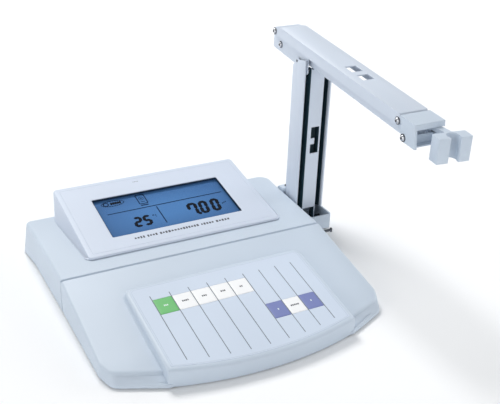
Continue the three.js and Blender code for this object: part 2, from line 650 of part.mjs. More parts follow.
// ---------- elbow ----------
const lug = ([y, z], r, x0, x1, segments = 14) => rodX(r, x0, x1, y, z, segments);
const hullOf = (...all) => wasm.Manifold.hull(all);
{
  const cheek = (x0, x1) =>
    union(
      hullOf(lug(TOP_PIN, 4.3, x0, x1), lug(BAR_TOP_PIN, 4.3, x0, x1), lug([78.5, 189.8], 3.6, x0, x1)),
      hullOf(
        lug([78.5, 189.8], 3.6, x0, x1),
        lug([84, 193.6], 7, x0, x1),
        lug([121, 198], 5.6, x0, x1),
        lug([123, 194], 3.4, x0, x1),
      ),
      hullOf(
        lug([112, 198.5], 5.4, x0, x1),
        lug(ARM_REAR_PIN, 4.4, x0, x1),
        lug([122.6, 203], 3.9, x0, x1),
      ),
      hullOf(
        lug([57.4, 190], 3.4, x0, x1),
        lug([57.4, 197.4], 3.4, x0, x1),
        lug([84, 199], 5, x0, x1),
        lug([112, 201], 5.4, x0, x1),
        lug([84, 193.6], 7, x0, x1),
      ),
    );
  const left = cheek(ARM_X - CHEEK_HALF, ARM_X - CHEEK_HALF + 1.6);
  const right = cheek(ARM_X + CHEEK_HALF - 1.6, ARM_X + CHEEK_HALF);
  const back = box(ARM_X - CHEEK_HALF, ARM_X + CHEEK_HALF, 125.1, 126.6, 191.6, 204);
  const sleeve = lug(ARM_REAR_PIN, 4.4, ARM_X - CHEEK_HALF, ARM_X + CHEEK_HALF, 24);
  let elbow = union(left, right, back, sleeve);
  for (const pin of [TOP_PIN, BAR_TOP_PIN, ARM_REAR_PIN, BAR_REAR_PIN])
    elbow = elbow.subtract(rodX(BORE_R, 140, 182, ...pin));
  add("elbow_bracket", elbow, "lilac");
  add("column_top_pin_left", rodX(PIN_R, ARM_X - COLUMN_HALF, ARM_X - 11, ...TOP_PIN), "steel");
  add("column_top_pin_right", rodX(PIN_R, ARM_X + 11, ARM_X + COLUMN_HALF, ...TOP_PIN), "steel");
  const reach = CHEEK_HALF + 0.4;
  add("bar_top_pin", rodX(PIN_R, ARM_X - reach, ARM_X + reach, ...BAR_TOP_PIN), "steel");
}

// a pin along X with a domed head outside each face
function headedPin(half, [y, z]) {
  const outer = half + GAP;
  const profile = [
    [0, -outer - 1.9], [1.5, -outer - 1.7], [2.6, -outer - 1.1], [3.1, -outer],
    [PIN_R, -outer], [PIN_R, outer], [3.1, outer], [2.6, outer + 1.1], [1.5, outer + 1.7], [0, outer + 1.9],
  ];
  return turned(lathe(profile, 16), 0, 90, 0, [ARM_X, y, z]);
}
add("arm_rear_pin", headedPin(ARM_HALF, ARM_REAR_PIN), "steel");
add("bar_rear_pin", headedPin(CHEEK_HALF, BAR_REAR_PIN), "steel");
add("arm_front_pin", headedPin(ARM_HALF, ARM_FRONT_PIN), "steel");
add("bar_front_pin", headedPin(16.4, BAR_FRONT_PIN), "steel");

// ---------- arm ----------
// drawn upright like the column, pin to pin along +Z, then laid down; drawing +Y becomes the top side
const laid = (made, pin) => turned(made, 90 + ARM_SLOPE, 0, 0, [ARM_X, ...pin]);
{
  const end = 4.3;
  const bottom = ARM_TOP - ARM_DEPTH;
  const outline = [
    [bottom, 0],
    [-3, -3.1],
    [0, -end],
    [3.2, -2.9],
    [ARM_TOP, 12.6],
    [ARM_TOP, ARM_LINK + 0.4],
    [3.4, ARM_LINK + 2.7],
    [0, ARM_LINK + end],
    [-3, ARM_LINK + 3.1],
    [bottom, ARM_LINK],
  ];
  let channel = sidePrism(outline, -ARM_HALF, ARM_HALF);
  // the top sheet leans down towards the rear pin and stops short of the elbow's sleeve
  const top = ARM_TOP - SHEET;
  const hollow = [[-20, -20], [20, -20], [20, 4.9], [3.7, 4.9], [top, 12.8], [top, 260], [-20, 260]];
  channel = channel.subtract(sidePrism(hollow, -ARM_HALF + 1.4, ARM_HALF - 1.4));
  for (const z of [172, 214])
    channel = channel.add(box(-4, 4, -4.6, ARM_TOP - 0.6, z, z + 1.6));
  for (const [z0, z1] of [[123.8, 137.4], [145.4, 157.4]])
    channel = channel.subtract(box(-5.9, 6.6, 0, 20, z0, z1));
  channel = channel.subtract(rodX(BORE_R, -30, 30, 0, 0)).subtract(rodX(BORE_R, -30, 30, 0, ARM_LINK));
  add("arm_channel", laid(channel, ARM_REAR_PIN), "lilac");
  add("arm_bar", laid(innerBar(ARM_LINK, 6, 6), BAR_REAR_PIN), "body");
  add("arm_spring", laid(spring(174, 213.6, 9).translate([0, 0.4, 0]), ARM_REAR_PIN), "steel");
}

// ---------- end bracket ----------
const BRACKET_HALF = 16.4;
{
  const outline = [[-109.6, 197.2], [-131.8, 195.8], [-134.8, 173.6], [-114, 174.8], [-112, 190.5]];
  const x0 = ARM_X - BRACKET_HALF;
  const x1 = ARM_X + BRACKET_HALF;
  let bracket = sidePrism(outline, x0, x1);
  bracket = bracket.subtract(box(x0 + 2.5, x1 - 2.5, -150, -100, 150, 190.5));
  // apron across the bracket under the clip's neck, with a lip along its foot
  bracket = bracket.add(box(x0 + 2, x1 - 2, -127.6, -126, 174.6, 184));
  bracket = bracket.add(box(x0 + 2, x1 - 2, -132.6, -126, 174.4, 175.8));
  const cheek = (a, b) =>
    hullOf(
      lug(ARM_FRONT_PIN, 4.3, a, b),
      lug(BAR_FRONT_PIN, 4.3, a, b),
      lug([-119, 190.4], 3.4, a, b),
      lug([-119, 178.5], 4.2, a, b),
    );
  bracket = bracket.add(cheek(ARM_X - CHEEK_HALF - 0.2, ARM_X - CHEEK_HALF + 1.4));
  bracket = bracket.add(cheek(ARM_X + CHEEK_HALF - 1.4, ARM_X + CHEEK_HALF + 0.2));
  for (const pin of [ARM_FRONT_PIN, BAR_FRONT_PIN])
    bracket = bracket.subtract(rodX(BORE_R, 140, 182, ...pin));
  bracket = bracket.subtract(rodZ(BORE_R, 180, 194.4, ...CLIP_PIVOT));
  // room for the clip's neck when it swings outwards
  bracket = bracket.subtract(box(x1 - 2.6, x1 + 1, -140, -125, CLIP_TOP - 4.5, CLIP_TOP + 0.3));
  add("end_bracket", bracket, "body");
}

// ---------- clip ----------
{
  const low = CLIP_TOP - CLIP_HEIGHT;
  const centre = 3.3;
  const outline = [[-13.6, -30.5], [19.8, -30.5], [19.8, -17.2], [-13.6, -17.2]];
  const body = prism(roundedRing(outline, [0.8, 0.8, 1.4, 1.4], 3), low, CLIP_TOP);
  const boss = rodZ(9.4, low, CLIP_TOP, centre, -25, 24).subtract(box(-40, 40, -60, -30.4, 0, 300));
  const mouth = box(centre - 5.35, centre + 5.35, -40, -25, 0, 300);
  const slot = rodZ(6.1, 0, 300, centre, -24.6, 24).add(mouth);
  const neck = hullOf(
    rodZ(3.5, CLIP_TOP - 4, CLIP_TOP, 0, 0, 20),
    rodZ(3.5, CLIP_TOP - 4, CLIP_TOP, centre, -17, 20),
  );
  let clip = union(body, boss, neck).subtract(slot);
  clip = clip.subtract(rodZ(BORE_R, 0, 300, 0, 0));
  add("electrode_clip", turned(clip, 0, 0, CLIP_TURN, [...CLIP_PIVOT, 0]), "body");
  const pin = rodZ(PIN_R, 185, 194, ...CLIP_PIVOT);
  add("clip_pin", pin.add(rodZ(2.8, 184.4, 185.9, ...CLIP_PIVOT)), "steel");
}

// ---------- place the origin under the centre of the whole, on the desk ----------
const bounds = new THREE.Box3().setFromObject(group);
const middle = bounds.getCenter(new THREE.Vector3());
group.children.forEach((mesh) => mesh.geometry.translate(-middle.x, -middle.y, -bounds.min.z));

export default group;
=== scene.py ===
import json
import math
import random

import bmesh
import bpy
from mathutils import Matrix, Vector

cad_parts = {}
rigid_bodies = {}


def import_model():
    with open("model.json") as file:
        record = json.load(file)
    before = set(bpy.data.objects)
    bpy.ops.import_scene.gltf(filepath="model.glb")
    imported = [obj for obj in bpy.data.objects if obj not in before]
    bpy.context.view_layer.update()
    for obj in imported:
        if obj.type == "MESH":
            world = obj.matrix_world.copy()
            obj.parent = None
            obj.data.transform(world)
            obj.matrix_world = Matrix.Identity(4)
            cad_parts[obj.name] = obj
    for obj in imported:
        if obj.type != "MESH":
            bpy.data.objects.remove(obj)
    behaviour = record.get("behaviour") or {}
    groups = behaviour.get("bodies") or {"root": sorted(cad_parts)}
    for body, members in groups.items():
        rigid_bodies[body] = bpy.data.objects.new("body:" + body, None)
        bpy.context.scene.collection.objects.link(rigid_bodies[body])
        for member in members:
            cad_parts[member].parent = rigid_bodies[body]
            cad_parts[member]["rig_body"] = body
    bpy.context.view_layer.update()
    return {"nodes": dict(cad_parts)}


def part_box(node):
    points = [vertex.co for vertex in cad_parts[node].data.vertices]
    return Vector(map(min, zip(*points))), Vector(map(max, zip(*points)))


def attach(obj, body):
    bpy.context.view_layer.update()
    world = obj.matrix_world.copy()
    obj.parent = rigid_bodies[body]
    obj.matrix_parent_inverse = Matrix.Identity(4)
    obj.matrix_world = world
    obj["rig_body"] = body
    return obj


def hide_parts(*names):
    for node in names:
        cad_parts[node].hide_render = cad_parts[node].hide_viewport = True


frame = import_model()
random.seed(7)
tan, cos, sin, rad = math.tan, math.cos, math.sin, math.radians

# The design is drawn in millimetres about the housing's centre plane and its parting line.
# A foot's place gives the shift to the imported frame.
foot_low, foot_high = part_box("foot_1")
FOOT_X, FOOT_Y = -0.112, 0.070
SHIFT = Vector(((foot_low.x + foot_high.x) / 2 - FOOT_X, (foot_low.y + foot_high.y) / 2 - FOOT_Y, 0.0))


def mm(x, y, z):
    return Vector((x / 1000, y / 1000, z / 1000)) + SHIFT


# ---------------------------------------------------------------- materials
def new_material(name):
    mat = bpy.data.materials.new(name)
    mat.use_nodes = True
    tree = mat.node_tree
    shader = tree.nodes["Principled BSDF"]
    return mat, tree, shader


def noise(tree, scale, detail=3.0, rough=0.5):
    coord = tree.nodes.new("ShaderNodeTexCoord")
    node = tree.nodes.new("ShaderNodeTexNoise")
    node.inputs["Scale"].default_value = scale
    node.inputs["Detail"].default_value = detail
    node.inputs["Roughness"].default_value = rough
    tree.links.new(coord.outputs["Object"], node.inputs["Vector"])
    return node


def ramp(tree, source, stops):
    node = tree.nodes.new("ShaderNodeValToRGB")
    elements = node.color_ramp.elements
    while len(elements) < len(stops):
        elements.new(0.5)
    for element, (place, colour) in zip(elements, stops):
        element.position = place
        element.color = (*colour, 1.0)
    tree.links.new(source, node.inputs["Fac"])
    return node


def bump(tree, shader, source, strength, distance):
    node = tree.nodes.new("ShaderNodeBump")
    node.inputs["Strength"].default_value = strength
    node.inputs["Distance"].default_value = distance
    tree.links.new(source, node.inputs["Height"])
    tree.links.new(node.outputs["Normal"], shader.inputs["Normal"])


def plastic(name, colour, rough=0.42, grain=0.00003, vary=0.03, grain_scale=1400, spec=0.5):
    """Moulded plastic: slow colour drift, a fine grain in the height and a slight change of gloss."""
    mat, tree, shader = new_material(name)
    slow = noise(tree, 9.0, 2.0)
    low = tuple(c * (1 - vary) for c in colour)
    high = tuple(min(1.0, c * (1 + vary)) for c in colour)
    tint = ramp(tree, slow.outputs["Fac"], [(0.3, low), (0.7, high)])
    tree.links.new(tint.outputs["Color"], shader.inputs["Base Color"])
    fine = noise(tree, grain_scale, 4.0, 0.6)
    gloss = ramp(tree, fine.outputs["Fac"], [(0.2, (rough - 0.05,) * 3), (0.8, (rough + 0.07,) * 3)])
    tree.links.new(gloss.outputs["Color"], shader.inputs["Roughness"])
    bump(tree, shader, fine.outputs["Fac"], 0.35, grain)
    shader.inputs["Specular IOR Level"].default_value = spec
    return mat


METAL_MARK_SCALE = 900


def metal(name, colour, rough):
    """Turned or plated metal with faint machining marks."""
    mat, tree, shader = new_material(name)
    marks = noise(tree, METAL_MARK_SCALE, 3.0, 0.6)
    low = tuple(c * 0.86 for c in colour)
    tint = ramp(tree, marks.outputs["Fac"], [(0.35, low), (0.65, colour)])
    tree.links.new(tint.outputs["Color"], shader.inputs["Base Color"])
    gloss = ramp(tree, marks.outputs["Fac"], [(0.3, (rough,) * 3), (0.7, (rough + 0.1,) * 3)])
    tree.links.new(gloss.outputs["Color"], shader.inputs["Roughness"])
    shader.inputs["Metallic"].default_value = 1.0
    bump(tree, shader, marks.outputs["Fac"], 0.2, 0.00002)
    return mat


BODY = plastic("body_plastic", (0.56, 0.635, 0.725), rough=0.44, grain=0.00009, vary=0.035)
BEZEL = plastic("bezel_plastic", (0.60, 0.66, 0.765), rough=0.42, grain=0.00005)
COAT = plastic("powder_coat", (0.62, 0.68, 0.77), rough=0.46, grain=0.00008, grain_scale=800)
MEMBRANE = plastic("membrane", (0.605, 0.68, 0.79), rough=0.5, grain=0.00002, grain_scale=2200)
KEY_WHITE = plastic("key_white", (0.90, 0.90, 0.90), rough=0.5, grain=0.00002, grain_scale=2200, vary=0.015)
KEY_GREEN = plastic("key_green", (0.15, 0.50, 0.16), rough=0.5, grain=0.00002, grain_scale=2200)
KEY_BLUE = plastic("key_blue", (0.18, 0.215, 0.46), rough=0.5, grain=0.00002, grain_scale=2200)
LINE = plastic("print_grey", (0.17, 0.20, 0.23), rough=0.6, grain=0.00001, vary=0.08)
# Painted shade: a slightly darker line just inside the keypad membrane's edge, standing in for the shadow
# along that edge.
EDGE_SHADE_LINE = plastic("membrane_edge_shade", (0.50, 0.57, 0.66), rough=0.55, grain=0.00001, vary=0.04)
# Painted shade: a near-black colour for the inside of the column channel and the sides of its bar, standing
# in for the shadow in the channel's grooves.
PAINTED_SHADE_INSIDE = plastic("channel_painted_shade", (0.03, 0.075, 0.10), rough=0.5, grain=0.00005, vary=0.15)
PRINT = plastic("print_dark", (0.07, 0.075, 0.09), rough=0.6, grain=0.00001, vary=0.1)
BLACK = plastic("black_plastic", (0.02, 0.022, 0.026), rough=0.35, grain=0.00004)
RUBBER = plastic("rubber_black", (0.025, 0.025, 0.027), rough=0.75, grain=0.0001, grain_scale=900, spec=0.3)
BOARD = plastic("solder_mask", (0.02, 0.16, 0.07), rough=0.3, grain=0.00004, grain_scale=500)
STEEL = metal("bright_steel", (0.62, 0.63, 0.66), rough=0.18)
DARK_STEEL = metal("dark_steel", (0.12, 0.13, 0.15), rough=0.3)
BRASS = metal("plated_brass", (0.72, 0.55, 0.22), rough=0.25)
WHITE_DIFFUSER = plastic("diffuser", (0.8, 0.82, 0.85), rough=0.5)


def lcd_material():
    """Backlit display: deeper at the rim, brighter in the middle, with a very fine cell pattern."""
    mat, tree, shader = new_material("lcd_blue")
    lo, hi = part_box("lcd_panel")
    coord = tree.nodes.new("ShaderNodeTexCoord")
    mapping = tree.nodes.new("ShaderNodeMapping")
    centre = (lo + hi) / 2
    size = hi - lo
    spread = 1.9
    shift = (-centre.x / size.x * spread, -centre.y / size.y * spread, 0)
    mapping.inputs["Location"].default_value = shift
    mapping.inputs["Scale"].default_value = (spread / size.x, spread / size.y, 0)
    tree.links.new(coord.outputs["Object"], mapping.inputs["Vector"])
    ball = tree.nodes.new("ShaderNodeTexGradient")
    ball.gradient_type = "SPHERICAL"
    tree.links.new(mapping.outputs["Vector"], ball.inputs["Vector"])
    cells = noise(tree, 2600, 2.0)
    mix = tree.nodes.new("ShaderNodeMath")
    mix.operation = "MULTIPLY_ADD"
    mix.inputs[1].default_value = 0.06
    tree.links.new(cells.outputs["Fac"], mix.inputs[0])
    tree.links.new(ball.outputs["Fac"], mix.inputs[2])
    tint = ramp(tree, mix.outputs["Value"], [(0.0, (0.062, 0.165, 0.38)), (0.75, (0.082, 0.225, 0.50))])
    tree.links.new(tint.outputs["Color"], shader.inputs["Base Color"])
    tree.links.new(tint.outputs["Color"], shader.inputs["Emission Color"])
    shader.inputs["Emission Strength"].default_value = 0.10
    shader.inputs["Roughness"].default_value = 0.5
    shader.inputs["Specular IOR Level"].default_value = 0.08
    return mat


def glass_material():
    """Clear lens: almost no body of its own, a weak reflection and a trace of dust in its gloss."""
    mat, tree, shader = new_material("lens_clear")
    dust = noise(tree, 60, 5.0)
    gloss = ramp(tree, dust.outputs["Fac"], [(0.4, (0.04,) * 3), (0.8, (0.12,) * 3)])
    tree.links.new(gloss.outputs["Color"], shader.inputs["Roughness"])
    shader.inputs["Base Color"].default_value = (0.02, 0.035, 0.06, 1.0)
    shader.inputs["Alpha"].default_value = 0.05
    shader.inputs["IOR"].default_value = 1.3
    shader.inputs["Specular IOR Level"].default_value = 0.2
    mat.blend_method = "BLEND"
    return mat


LCD = lcd_material()
LENS = glass_material()


# ---------------------------------------------------------------- mesh helpers
def finish_object(name, mesh, material, body, replaces=(), smooth=35):
    for polygon in mesh.polygons:
        polygon.use_smooth = True
    if smooth:
        mesh.set_sharp_from_angle(angle=rad(smooth))
    obj = bpy.data.objects.new(name, mesh)
    bpy.context.scene.collection.objects.link(obj)
    obj.data.materials.clear()
    obj.data.materials.append(material)
    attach(obj, body)
    if replaces:
        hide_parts(*replaces)
    return obj


def mesh_from(verts, faces, name):
    mesh = bpy.data.meshes.new(name)
    mesh.from_pydata([tuple(v) for v in verts], [], faces)
    mesh.validate()
    mesh.update()
    return mesh


def loft(rings, cap_first=True, cap_last=True, closed=False):
    """Quads between rings of equal length, with optional n-gon caps, or joined end to end."""
    n = len(rings[0])
    verts = [p for ring in rings for p in ring]
    faces = []
    count = len(rings)
    for k in range(count if closed else count - 1):
        a0, b0 = k * n, ((k + 1) % count) * n
        for i in range(n):
            j = (i + 1) % n
            faces.append((a0 + i, a0 + j, b0 + j, b0 + i))
    if cap_first and not closed:
        faces.append(tuple(range(n))[::-1])
    if cap_last and not closed:
        faces.append(tuple((count - 1) * n + i for i in range(n)))
    return verts, faces


def joined(*parts):
    verts, faces = [], []
    for v, f in parts:
        base = len(verts)
        verts += list(v)
        faces += [tuple(i + base for i in face) for face in f]
    return verts, faces


def rounded(points, radii, steps=6):
    """A ring with rounded corners. Each corner has the same number of points, so rings match."""
    out = []
    n = len(points)
    for i in range(n):
        p = Vector(points[i])
        before = Vector(points[i - 1]) - p
        after = Vector(points[(i + 1) % n]) - p
        r = radii[i] if isinstance(radii, (list, tuple)) else radii
        if r is None:
            out.append((p.x, p.y))
            continue
        r = max(r, 1e-4)
        half = before.angle(after) / 2
        cut = min(r / tan(half), before.length * 0.49, after.length * 0.49)
        real = cut * tan(half)
        middle = p + (before.normalized() + after.normalized()).normalized() * (real / sin(half))
        start = p + before.normalized() * cut - middle
        end = p + after.normalized() * cut - middle
        a0 = math.atan2(start.y, start.x)
        sweep = math.atan2(end.y, end.x) - a0
        while sweep > math.pi:
            sweep -= 2 * math.pi
        while sweep < -math.pi:
            sweep += 2 * math.pi
        for k in range(steps + 1):
            a = a0 + sweep * k / steps
            out.append((middle.x + real * cos(a), middle.y + real * sin(a)))
    return out


MERGE_ANGLE = rad(2.0)
EDGE_ANGLE = rad(32)
SHARP_ANGLE = rad(60)


def refine(node, material, width, segments):
    """A finer copy of a CAD node: flat faces merged, every hard edge rounded."""
    source = frame["nodes"][node]
    bm = bmesh.new()
    bm.from_mesh(source.data)
    bmesh.ops.remove_doubles(bm, verts=bm.verts, dist=1e-6)
    bmesh.ops.dissolve_limit(bm, angle_limit=MERGE_ANGLE, verts=bm.verts, edges=bm.edges)
    bmesh.ops.triangulate(bm, faces=[face for face in bm.faces if len(face.verts) > 4])
    name = node + "_finish"
    mesh = bpy.data.meshes.new(name)
    bm.to_mesh(mesh)
    bm.free()
    obj = finish_object(name, mesh, material, source["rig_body"], (node,), smooth=None)
    edge = obj.modifiers.new("edges", "BEVEL")
    edge.limit_method = "ANGLE"
    edge.angle_limit = EDGE_ANGLE
    edge.width = width / 1000
    edge.segments = segments
    edge.harden_normals = True
    edge.use_clamp_overlap = True
    mesh.set_sharp_from_angle(angle=SHARP_ANGLE)
    return obj


# ---------------------------------------------------------------- design numbers (mm)
HALF_WIDTH, REAR_HALF, REAR_Y, REAR_TOP_Y = 140.3, 144.5, 127.5, 121.0
TOP_Z, REAR_TOP_Z, SKIRT_Z, GROOVE_HALF = 35.2, 37.8, 1.2, 0.6
DECK_SLOPE, TONGUE_HALF, TONGUE_FRONT_Y, TONGUE_R = 0.184, 93.0, -159.0, 318.0
KEY_ORIGIN, KEY_TILT, KEY_PITCH = (0, -54, 32.6), rad(8.3), 19.0
BEZEL_ORIGIN, BEZEL_TILT = (0, 21.4, 38.3), rad(8.7)
BEZEL_HALF, BEZEL_DEPTH = 105.0, 121.9
WINDOW_HALF, WINDOW_NEAR, WINDOW_FAR = 72.5, 24.4, 91.9


def rear_top(y):
    return TOP_Z + (REAR_TOP_Z - TOP_Z) * y / REAR_TOP_Y


def deck_z(y):
    return TOP_Z + DECK_SLOPE * y


def key_plane(y):
    return KEY_ORIGIN[2] + tan(KEY_TILT) * (y - KEY_ORIGIN[1])


def on_keypad(u, v, n):
    return mm(KEY_ORIGIN[0] + u, KEY_ORIGIN[1] + v * cos(KEY_TILT) - n * sin(KEY_TILT),
              KEY_ORIGIN[2] + v * sin(KEY_TILT) + n * cos(KEY_TILT))


def on_bezel(u, v, n):
    return mm(BEZEL_ORIGIN[0] + u, BEZEL_ORIGIN[1] + v * cos(BEZEL_TILT) - n * sin(BEZEL_TILT),
              BEZEL_ORIGIN[2] + v * sin(BEZEL_TILT) + n * cos(BEZEL_TILT))


# ---------------------------------------------------------------- rear cover
def rear_ring(inset, top, drop=0.0, z=None):
    side = HALF_WIDTH - inset
    far = (HALF_WIDTH + 1.1 if top else REAR_HALF) - inset
    y1 = (REAR_TOP_Y if top else REAR_Y) - inset
    bow = 0.2 if top else 0.6
    y0 = GROOVE_HALF + min(inset, 0.8)
    ring = [(-side, y0), (side, y0), (side + bow, 92), (far, y1), (-far, y1), (-side - bow, 92)]
    ring = rounded(ring, [None, None, None, 12 - inset * 0.5, 5 - inset * 0.5, None], 8)
    return [mm(x, y, rear_top(y) - drop if z is None else z) for x, y in ring]


rings = [
    rear_ring(2.4, False, z=6.0), rear_ring(2.4, False, z=SKIRT_Z), rear_ring(0.4, False, z=SKIRT_Z),
    rear_ring(0.0, False, z=SKIRT_Z + 0.4), rear_ring(-0.05, True, 3.2), rear_ring(0.05, True, 2.2),
    rear_ring(0.45, True, 1.2),
    rear_ring(1.1, True, 0.5),
    rear_ring(2.0, True, 0.1),
    rear_ring(3.0, True, 0.0),
]
finish_object("rear_cover_shell", mesh_from(*loft(rings, False, True), "rear_cover_shell"), BODY,
                           "meter", ["rear_cover"])


# ---------------------------------------------------------------- front deck: shoulders and keypad tongue
def shoulder_ring(inset, top, drop=0.0, z=None):
    side = HALF_WIDTH - inset
    tip = -135.5 if top else -146.5
    corner = -121.5 if top else -127.0
    y0 = -GROOVE_HALF - min(inset, 0.8)
    ring = [(-side, y0), (-side - 0.7, -108), (-side + 4.5, corner + inset), (-TONGUE_HALF + 1, tip + inset),
            (TONGUE_HALF - 1, tip + inset), (side - 4.5, corner + inset), (side + 0.7, -108), (side, y0)]
    r = max(12 - inset, 2)
    ring = rounded(ring, [None, r, r, None, None, r, r, None], 7)
    return [mm(x, y, deck_z(y) - drop if z is None else z) for x, y in ring][::-1]


def tongue_ring(inset, z_of, flare=0.0, count=28):
    half = TONGUE_HALF - inset
    arc = []
    for i in range(count + 1):
        x = -half + 2 * half * i / count
        arc.append((x, TONGUE_FRONT_Y + inset + TONGUE_R - math.sqrt(TONGUE_R ** 2 - x * x)))
    y_rear = -37 - inset
    corner = rounded([(half, arc[-1][1]), (half, y_rear), (-half, y_rear), (-half, arc[0][1])],
                     [None, max(8 - inset * 0.6, 2), max(8 - inset * 0.6, 2), None], 7)[1:-1]
    right = [(half, arc[-1][1] + (corner[0][1] - arc[-1][1]) * k / 5) for k in range(1, 5)]
    left = [(-half, corner[-1][1] + (arc[0][1] - corner[-1][1]) * k / 5) for k in range(1, 5)]
    ring = arc + right + corner + left
    out = []
    for i, (x, y) in enumerate(ring):
        grow = flare * (1.0 if i > count + 1 and i < len(ring) - 1 else 0.0)
        if grow:
            x += math.copysign(grow, x) if abs(x) > half - 9 else 0
            y += grow if y > y_rear - 9 else 0
        out.append(mm(x, y, z_of(y)))
    return out


def tongue_top(drop, lift=0.0):
    return lambda y: min(key_plane(y), TOP_Z + lift) - drop


shoulder = loft([
    shoulder_ring(2.4, False, z=6.0),
    shoulder_ring(2.4, False, z=SKIRT_Z),
    shoulder_ring(0.4, False, z=SKIRT_Z),
    shoulder_ring(0.0, False, z=SKIRT_Z + 0.4),
    shoulder_ring(0.0, False, z=3.9),
    shoulder_ring(0.15, False, z=4.4),
    shoulder_ring(-0.1, True, 2.6), shoulder_ring(0.1, True, 1.8), shoulder_ring(0.5, True, 1.05),
    shoulder_ring(1.2, True, 0.45), shoulder_ring(2.1, True, 0.1), shoulder_ring(3.1, True, 0.0),
], False, True)


def tongue_side(share, above):
    """The height of a wall ring: a step above the deck, and ahead of the deck a share of the wall."""
    def height(y):
        crown = min(key_plane(y), TOP_Z) - 2.8
        step = deck_z(y) + above if y > -138 else SKIRT_Z + 0.4 + (crown - SKIRT_Z) * share
        return min(step, crown - 0.6 * (1 - share))
    return height


tongue = loft([
    tongue_ring(0.5, lambda y: SKIRT_Z), tongue_ring(0.0, lambda y: SKIRT_Z + 0.4),
    tongue_ring(0.0, tongue_side(0.15, -0.6), 2.0), tongue_ring(0.0, tongue_side(0.3, 0.15), 1.5),
    tongue_ring(0.0, tongue_side(0.45, 0.9), 0.7), tongue_ring(0.0, tongue_side(0.6, 2.0), 0.2),
    tongue_ring(0.0, tongue_top(2.8)),
    tongue_ring(0.2, tongue_top(1.9, 0.2)),
    tongue_ring(0.75, tongue_top(1.05, 0.4)),
    tongue_ring(1.6, tongue_top(0.42, 0.6)),
    tongue_ring(2.6, tongue_top(0.1, 0.8)),
    tongue_ring(3.6, tongue_top(0.0, 0.9)),
    tongue_ring(6.4, tongue_top(0.0, 0.9)), tongue_ring(6.5, tongue_top(0.3, 0.9)),
], True, True)
finish_object("front_deck_shell", mesh_from(*joined(shoulder, tongue), "front_deck_shell"), BODY,
                           "meter", ["front_deck"])


# ---------------------------------------------------------------- display housing
def foot_ring(inset, lift):
    near = [(-107.4 + inset, 23.5 + inset), (107.4 - inset, 23.5 + inset)]
    far = [(114 - inset, 112 - inset), (-114 + inset, 112 - inset)]
    ring = rounded(near + far, max(4.5 - inset, 1.5), 8)
    return [mm(x, y, rear_top(y) + lift) for x, y in ring]


def face_ring(inset, n):
    ring = rounded([(-BEZEL_HALF + inset, inset), (BEZEL_HALF - inset, inset),
                    (BEZEL_HALF - inset, BEZEL_DEPTH - inset), (-BEZEL_HALF + inset, BEZEL_DEPTH - inset)],
                   max(4 - inset, 0.8), 8)
    return [on_bezel(u, v, n) for u, v in ring]


def window_ring(grow, n, r=1.5):
    ring = rounded([(-WINDOW_HALF - grow, WINDOW_NEAR - grow), (WINDOW_HALF + grow, WINDOW_NEAR - grow),
                    (WINDOW_HALF + grow, WINDOW_FAR + grow), (-WINDOW_HALF - grow, WINDOW_FAR + grow)], r, 8)
    return [on_bezel(u, v, n) for u, v in ring]


rings = [
    foot_ring(2.0, 0.1),
    foot_ring(0.0, 0.1),
    foot_ring(0.0, 0.8),
    face_ring(-0.2, -2.0),
    face_ring(-0.1, -1.3),
    face_ring(0.1, -0.7), face_ring(0.45, -0.28), face_ring(0.9, -0.06), face_ring(1.5, 0.0),
    face_ring(5.0, 0.0), face_ring(5.15, -0.18), face_ring(5.55, -0.18), face_ring(5.7, 0.0),
    window_ring(2.2, 0.0, 3.0), window_ring(0.5, 0.0), window_ring(0.12, -0.12), window_ring(0.0, -0.5),
    window_ring(0.0, -2.6),
]
finish_object("display_shell", mesh_from(*loft(rings, False, False), "display_shell"), BEZEL, "meter",
                              ["display_housing"])


# A dark ring round the inside of the window's edge: partly the window's black frame, partly painted shade
# standing in for the shadow of the window recess.
window_edge_rings = [
    window_ring(-0.1, -2.68),
    window_ring(-0.1, -0.75),
    window_ring(-0.45, -0.6),
    window_ring(-0.7, -0.75),
    window_ring(-0.7, -2.68),
]
window_edge_shade = loft(window_edge_rings, True, True, True)
WINDOW_FRAME_SHADE = plastic("window_frame_and_shade", (0.012, 0.03, 0.06), rough=0.6, spec=0.2)
finish_object("window_gasket", mesh_from(*window_edge_shade, "window_gasket"), WINDOW_FRAME_SHADE, "meter")

# ---------------------------------------------------------------- display contents
def strip(points, width, place, n, height=0.12):
    """A flat printed bar along a polyline, pointed like a display segment at its ends."""
    verts, faces = [], []
    for (u0, v0), (u1, v1) in zip(points, points[1:]):
        d = Vector((u1 - u0, v1 - v0)).normalized()
        s = Vector((-d.y, d.x)) * width / 2
        outline = [(u0 + d.x * width / 2 + s.x, v0 + d.y * width / 2 + s.y), (u0, v0),
                   (u0 + d.x * width / 2 - s.x, v0 + d.y * width / 2 - s.y),
                   (u1 - d.x * width / 2 - s.x, v1 - d.y * width / 2 - s.y), (u1, v1),
                   (u1 - d.x * width / 2 + s.x, v1 - d.y * width / 2 + s.y)]
        base = len(verts)
        verts += [place(u, v, n) for u, v in outline] + [place(u, v, n + height) for u, v in outline]
        faces += [tuple(base + i for i in range(6))[::-1], tuple(base + 6 + i for i in range(6))]
        faces += [(base + i, base + (i + 1) % 6, base + 6 + (i + 1) % 6, base + 6 + i) for i in range(6)]
    return verts, faces


SEGMENTS = {
    "a": ((0, 1), (1, 1)), "b": ((1, 1), (1, 0.5)), "c": ((1, 0.5), (1, 0)), "d": ((0, 0), (1, 0)),
    "e": ((0, 0), (0, 0.5)), "f": ((0, 0.5), (0, 1)), "g": ((0, 0.5), (1, 0.5)),
}
DIGITS = {"0": "abcdef", "2": "abged", "5": "afgcd", "7": "abcf"}


# depth of the print under the bezel plane
LCD_N = -3.98
BIG_STROKE, SMALL_STROKE = 3.8, 3.4
SLANT = 0.13
SEGMENT_OVERLAP = 0.16


